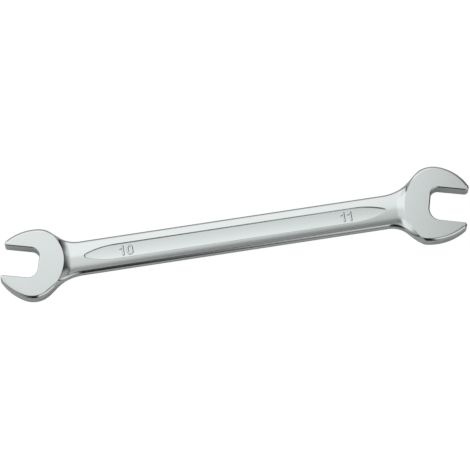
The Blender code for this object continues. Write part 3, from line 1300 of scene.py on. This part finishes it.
@dataclass(frozen=True)
class ChromeFinish:
    """A satin chrome finish of one region of the forging."""

    name: str
    colour: tuple[float, float, float]
    roughness: float
    roughness_change: float
    tone_change: float
    grain_height: float
    grain_width: float
    grain_length: float
    grain_angle: float = 0.0
    grain_tilt: float = 0.0
    peel_height: float = 0.0
    peel_size: float = 0.8 * MM

    def build(self, effects: Effects) -> bpy.types.Material:
        """Makes the material.

        Args:
            effects: the shared node groups.

        Returns:
            The material.
        """
        material = bpy.data.materials.new(self.name)
        material.use_nodes = True
        kit = NodeKit(material.node_tree)
        shader = material.node_tree.nodes["Principled BSDF"]
        shader.inputs["Metallic"].default_value = 1.0
        mottle = kit.add("ShaderNodeGroup", node_tree=effects.mottle)
        mottle.inputs["Tone Change"].default_value = self.tone_change
        mottle.inputs["Roughness"].default_value = self.roughness
        mottle.inputs["Roughness Change"].default_value = self.roughness_change
        tint = kit.add("ShaderNodeVectorMath", operation="SCALE")
        tint.inputs[0].default_value = self.colour
        kit.join(mottle.outputs["Tone"], tint.inputs["Scale"])
        kit.join(tint.outputs[0], shader.inputs["Base Color"])
        kit.join(mottle.outputs["Roughness"], shader.inputs["Roughness"])
        grain = kit.add("ShaderNodeGroup", node_tree=effects.grain)
        grain.inputs["Line Width"].default_value = self.grain_width
        grain.inputs["Line Length"].default_value = self.grain_length
        grain.inputs["Angle"].default_value = self.grain_angle
        grain.inputs["Tilt"].default_value = self.grain_tilt
        lines = self.bump(kit, grain.outputs["Height"], self.grain_height)
        if self.peel_height > 0.0:
            peel = kit.add("ShaderNodeGroup", node_tree=effects.peel)
            peel.inputs["Dimple Size"].default_value = self.peel_size
            dimples = self.bump(kit, peel.outputs["Height"], self.peel_height)
            kit.join(dimples.outputs["Normal"], lines.inputs["Normal"])
        kit.join(lines.outputs["Normal"], shader.inputs["Normal"])
        return material

    @staticmethod
    def bump(kit: NodeKit, height: bpy.types.NodeSocket, distance: float) -> bpy.types.Node:
        """Adds a Bump node.

        Args:
            height: the height pattern.
            distance: how high the pattern stands.

        Returns:
            The node.
        """
        node = kit.add("ShaderNodeBump")
        node.inputs["Strength"].default_value = 1.0
        node.inputs["Distance"].default_value = distance
        kit.join(height, node.inputs["Height"])
        return node


@dataclass
class Wrench:
    """The wrench itself: one chrome-plated forging."""

    form: WrenchForm = field(default_factory=WrenchForm)
    fineness: Fineness = field(default_factory=Fineness)
    forged: ChromeFinish = ChromeFinish(
        name="forged_satin_chrome",
        colour=PLATING_COLOUR,
        roughness=0.12,
        roughness_change=0.02,
        tone_change=0.02,
        grain_height=0.0006 * MM,
        grain_width=0.12 * MM,
        grain_length=1.2 * MM,
        peel_height=0.004 * MM,
        peel_size=0.7 * MM,
    )
    ground: ChromeFinish = ChromeFinish(
        name="ground_satin_chrome",
        colour=PLATING_COLOUR,
        roughness=0.17,
        roughness_change=0.03,
        tone_change=0.02,
        grain_height=0.0010 * MM,
        grain_width=0.10 * MM,
        grain_length=5.0 * MM,
        grain_angle=math.radians(35.0),
        peel_height=0.005 * MM,
        peel_size=0.9 * MM,
    )
    broached: ChromeFinish = ChromeFinish(
        name="broached_satin_chrome",
        colour=JAW_WALL_COLOUR,
        roughness=0.28,
        roughness_change=0.04,
        tone_change=0.03,
        grain_height=0.004 * MM,
        grain_width=0.14 * MM,
        grain_length=6.0 * MM,
        grain_tilt=math.radians(90.0),
    )

    def build(self, effects: Effects) -> bpy.types.Object:
        """Makes the forging, dresses it and puts it in place of the plain solid.

        Args:
            effects: the shared node groups.

        Returns:
            The object.
        """
        surface = ForgingSurface(self.form, self.fineness)
        mesh = surface.mesh("wrench")
        for finish in (self.forged, self.ground, self.broached):
            mesh.materials.append(finish.build(effects))
        wrench = bpy.data.objects.new("wrench", mesh)
        bpy.context.scene.collection.objects.link(wrench)
        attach(wrench, "root")
        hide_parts("wrench_forging")
        log.info("wrench: %d faces", len(mesh.polygons))
        return wrench


# Studio


@dataclass(frozen=True)
class Fade:
    """A level that changes along one measure, in soft steps from stop to stop."""

    stops: tuple[tuple[float, float], ...]

    def build(self, kit: NodeKit, measure: bpy.types.NodeSocket) -> bpy.types.NodeSocket:
        """Adds the nodes of the fade.

        Args:
            measure: the measure, from -1 to 1.

        Returns:
            The level.
        """
        share = kit.maths("ADD", kit.maths("MULTIPLY", measure, 0.5), 0.5)
        ramp = kit.add("ShaderNodeValToRGB")
        ramp.color_ramp.interpolation = "LINEAR"
        elements = ramp.color_ramp.elements
        while len(elements) < len(self.stops):
            elements.new(0.5)
        for element, (place, level) in zip(elements, self.stops):
            element.position = place / 2 + 0.5
            element.color = (level, level, level, 1.0)
        kit.join(share, ramp.inputs["Fac"])
        return ramp.outputs["Color"]


@dataclass(frozen=True)
class SoftBox:
    """A soft light: the product of its levels across the studio, from front to back and up from the table.

    across_lean is how far the measure across shifts for each step to the back.
    """

    across: Fade
    along: Fade
    rise: Fade = Fade(((0.05, 0.00), (0.24, 1.00)))
    across_lean: float = 0.0

    def build(self, kit: NodeKit, parts: list[bpy.types.NodeSocket]) -> bpy.types.NodeSocket:
        """Adds the nodes of the box.

        Args:
            parts: how far to the right, to the back and upwards the direction points.

        Returns:
            The level.
        """
        x_part, y_part, z_part = parts
        across = kit.maths("ADD", x_part, kit.maths("MULTIPLY", y_part, self.across_lean))
        plan = kit.maths("MULTIPLY", self.across.build(kit, across), self.along.build(kit, y_part))
        return kit.maths("MULTIPLY", plan, self.rise.build(kit, z_part))


BEHIND = SoftBox(
    across=Fade(
        (
            (-0.95, 0.75),
            (-0.80, 1.00),
            (0.02, 1.00),
            (0.06, 0.94),
            (0.10, 0.80),
            (0.14, 0.63),
            (0.20, 0.50),
            (0.27, 0.30),
            (0.33, 0.19),
            (0.42, 0.09),
            (0.60, 0.06),
        )
    ),
    along=Fade(
        (
            (-0.10, 0.00),
            (-0.05, 0.33),
            (0.00, 0.72),
            (0.10, 0.78),
            (0.28, 0.81),
            (0.34, 0.90),
            (0.41, 1.03),
            (0.72, 1.03),
            (0.92, 0.62),
        )
    ),
    across_lean=-0.10,
)
BEHIND_RIGHT = SoftBox(
    across=Fade(((0.15, 0.00), (0.30, 0.30), (0.40, 0.25), (0.55, 0.12), (0.70, 0.00))),
    along=Fade(((0.36, 0.00), (0.46, 1.00), (0.80, 1.00), (0.90, 0.60))),
)
LEFT = SoftBox(
    across=Fade(((-0.85, 0.90), (-0.40, 1.02), (-0.28, 0.80), (-0.15, 0.45), (-0.05, 0.22), (0.04, 0.00))),
    along=Fade(((-0.30, 0.00), (-0.22, 0.80), (-0.13, 1.05), (-0.08, 0.90), (-0.03, 0.30), (0.02, 0.00))),
)
FRONT_RIGHT = SoftBox(
    across=Fade(((0.03, 0.00), (0.10, 0.82), (0.18, 0.95), (0.30, 0.92), (0.80, 0.85), (0.90, 0.70))),
    along=Fade(
        (
            (-0.92, 0.40),
            (-0.82, 0.58),
            (-0.72, 0.82),
            (-0.62, 1.00),
            (-0.50, 0.95),
            (-0.40, 0.70),
            (-0.30, 0.48),
            (-0.20, 0.38),
            (-0.10, 0.12),
            (-0.02, 0.00),
        )
    ),
)
FRONT_LEFT = SoftBox(
    across=Fade(((-0.98, 0.45), (-0.88, 0.38), (-0.80, 0.22), (-0.70, 0.12), (-0.55, 0.03), (-0.45, 0.00))),
    along=Fade(((-0.32, 1.00), (-0.22, 0.00))),
    across_lean=0.35,
)


@dataclass(frozen=True)
class Surroundings:
    """Soft boxes round the table, as levels over the direction that is looked in.

    Most of the camera's side stays dark, at the least level. The camera itself sees white.
    """

    boxes: tuple[SoftBox, ...] = (BEHIND, BEHIND_RIGHT, LEFT, FRONT_RIGHT, FRONT_LEFT)
    least: float = 0.01

    def build(self) -> None:
        """Makes the world."""
        world = bpy.data.worlds.new("studio")
        bpy.context.scene.world = world
        world.use_nodes = True
        kit = NodeKit(world.node_tree)
        place = kit.add("ShaderNodeTexCoord")
        parts = kit.add("ShaderNodeSeparateXYZ")
        kit.join(place.outputs["Generated"], parts.inputs[0])
        level: float | bpy.types.NodeSocket = self.least
        for box in self.boxes:
            level = kit.maths("ADD", level, box.build(kit, list(parts.outputs)))
        path = kit.add("ShaderNodeLightPath")
        background = world.node_tree.nodes["Background"]
        background.inputs["Color"].default_value = (1.0, 1.0, 1.0, 1.0)
        kit.join(kit.maths("MAXIMUM", level, path.outputs["Is Camera Ray"]), background.inputs["Strength"])


@dataclass(frozen=True)
class Studio:
    """The white table, the soft surroundings and the camera."""

    table_side: float = 3.0
    table_grey: float = 0.66
    table_roughness: float = 0.6
    azimuth: float = math.radians(-9.15)
    elevation: float = math.radians(70.1)
    lens: float = 200.0
    sensor_width: float = 36.0
    clip_range: tuple[float, float] = (0.01, 20.0)
    frame_width: float = 152.6 * MM
    aim_right: float = -0.41 * MM
    aim_up: float = -0.01 * MM
    seen_glow: float = 0.90
    mirrored_glow: float = 0.04
    glow_level: float = 1.1

    def build(self) -> None:
        """Makes the table, the surroundings and the camera."""
        self.build_table()
        Surroundings().build()
        self.build_camera()

    def build_table(self) -> None:
        """A wide white table that keeps the wrench's shadow and is white to the camera elsewhere."""
        half = self.table_side / 2
        mesh = bpy.data.meshes.new("table")
        corners = [(-half, -half, 0.0), (half, -half, 0.0), (half, half, 0.0), (-half, half, 0.0)]
        mesh.from_pydata(corners, [], [(0, 1, 2, 3)])
        material = bpy.data.materials.new("white_table")
        material.use_nodes = True
        kit = NodeKit(material.node_tree)
        shader = material.node_tree.nodes["Principled BSDF"]
        grey = self.table_grey
        shader.inputs["Base Color"].default_value = (grey, grey, grey, 1.0)
        shader.inputs["Roughness"].default_value = self.table_roughness
        glow = kit.add("ShaderNodeEmission")
        glow.inputs["Strength"].default_value = self.glow_level
        path = kit.add("ShaderNodeLightPath")
        mix = kit.add("ShaderNodeMixShader")
        seen = kit.maths("MULTIPLY", path.outputs["Is Camera Ray"], self.seen_glow)
        inner = kit.maths("MAXIMUM", path.outputs["Is Glossy Ray"], path.outputs["Is Transmission Ray"])
        mirrored = kit.maths("MULTIPLY", inner, self.mirrored_glow)
        kit.join(kit.maths("MAXIMUM", seen, mirrored), mix.inputs["Fac"])
        kit.join(shader.outputs[0], mix.inputs[1])
        kit.join(glow.outputs[0], mix.inputs[2])
        output = material.node_tree.nodes["Material Output"]
        kit.join(mix.outputs[0], output.inputs["Surface"])
        mesh.materials.append(material)
        table = bpy.data.objects.new("table", mesh)
        bpy.context.scene.collection.objects.link(table)

    def build_camera(self) -> None:
        """A long lens above the front of the wrench, turned as in the photograph."""
        data = bpy.data.cameras.new("camera")
        data.lens = self.lens
        data.sensor_width = self.sensor_width
        data.clip_start, data.clip_end = self.clip_range
        camera = bpy.data.objects.new("camera", data)
        bpy.context.scene.collection.objects.link(camera)
        bpy.context.scene.camera = camera
        right = Vector((math.cos(self.azimuth), math.sin(self.azimuth), 0.0))
        front = Vector((right.y, -right.x, 0.0))
        back = front * math.cos(self.elevation)
        back.z = math.sin(self.elevation)
        up = back.cross(right)
        middle = Vector((0.0, 0.0, WrenchForm().head_thickness / 2))
        middle += right * self.aim_right + up * self.aim_up
        distance = self.frame_width * self.lens / self.sensor_width
        camera.location = middle + back * distance
        camera.rotation_mode = "QUATERNION"
        camera.rotation_quaternion = back.to_track_quat("Z", "Y")


def main() -> None:
    """Builds the wrench and the studio in order."""
    logging.basicConfig(level=logging.INFO, format="%(name)s: %(message)s")
    scene = bpy.context.scene
    scene.view_settings.view_transform = "Standard"
    effects = Effects()
    log.info("finishes: %d shared effects", len(bpy.data.node_groups))
    Wrench().build(effects)
    Studio().build()
    log.info("studio: table, surroundings and camera")


if __name__ == "__main__":
    main()
